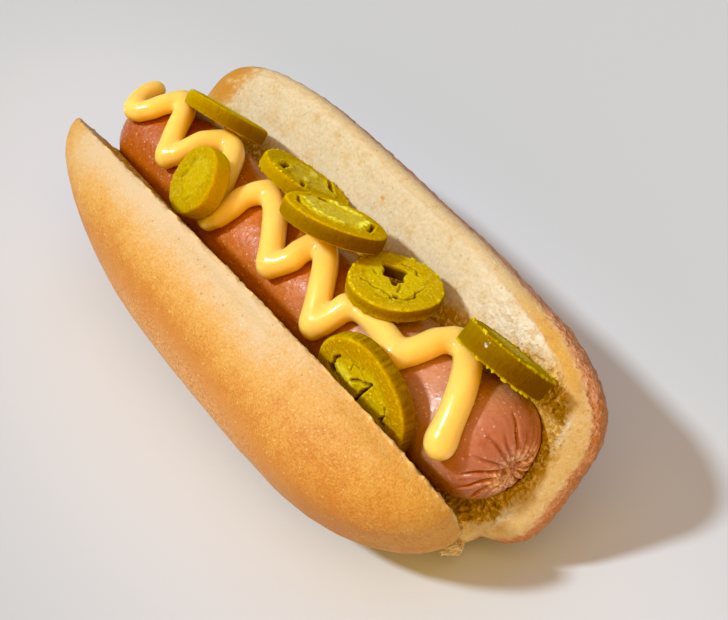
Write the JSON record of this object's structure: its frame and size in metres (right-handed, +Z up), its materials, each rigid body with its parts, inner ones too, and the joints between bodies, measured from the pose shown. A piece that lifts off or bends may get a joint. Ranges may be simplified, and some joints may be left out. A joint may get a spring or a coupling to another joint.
{
  "type": "hot dog",
  "caption": "Frankfurter in a split bun standing open on its hinge side, with a zigzag bead of mustard and slices of pickled green chilli on top.",
  "frame": {"origin": "on the table, under the middle of the whole, at the flat that the bun stands on", "axes": "+X along the bun towards its near end, +Y from the bun's domed top half to its flat bottom half, +Z up"},
  "size_m": [0.1638, 0.0768, 0.0588],
  "materials": {
    "bun": "soft baked crust, golden over cream crumb",
    "sausage": "satin, moist cooked skin",
    "mustard": "glossy, smooth and slightly translucent",
    "chilli": "moist pickled flesh with a glossy olive skin"
  },
  "bodies": {
    "root": {"bun": "bun", "sausage": "sausage", "mustard": "mustard", "jalapeno_1": "chilli", "jalapeno_2": "chilli", "jalapeno_3": "chilli", "jalapeno_4": "chilli", "jalapeno_5": "chilli", "jalapeno_6": "chilli", "jalapeno_7": "chilli"}
  },
  "joints": []
}
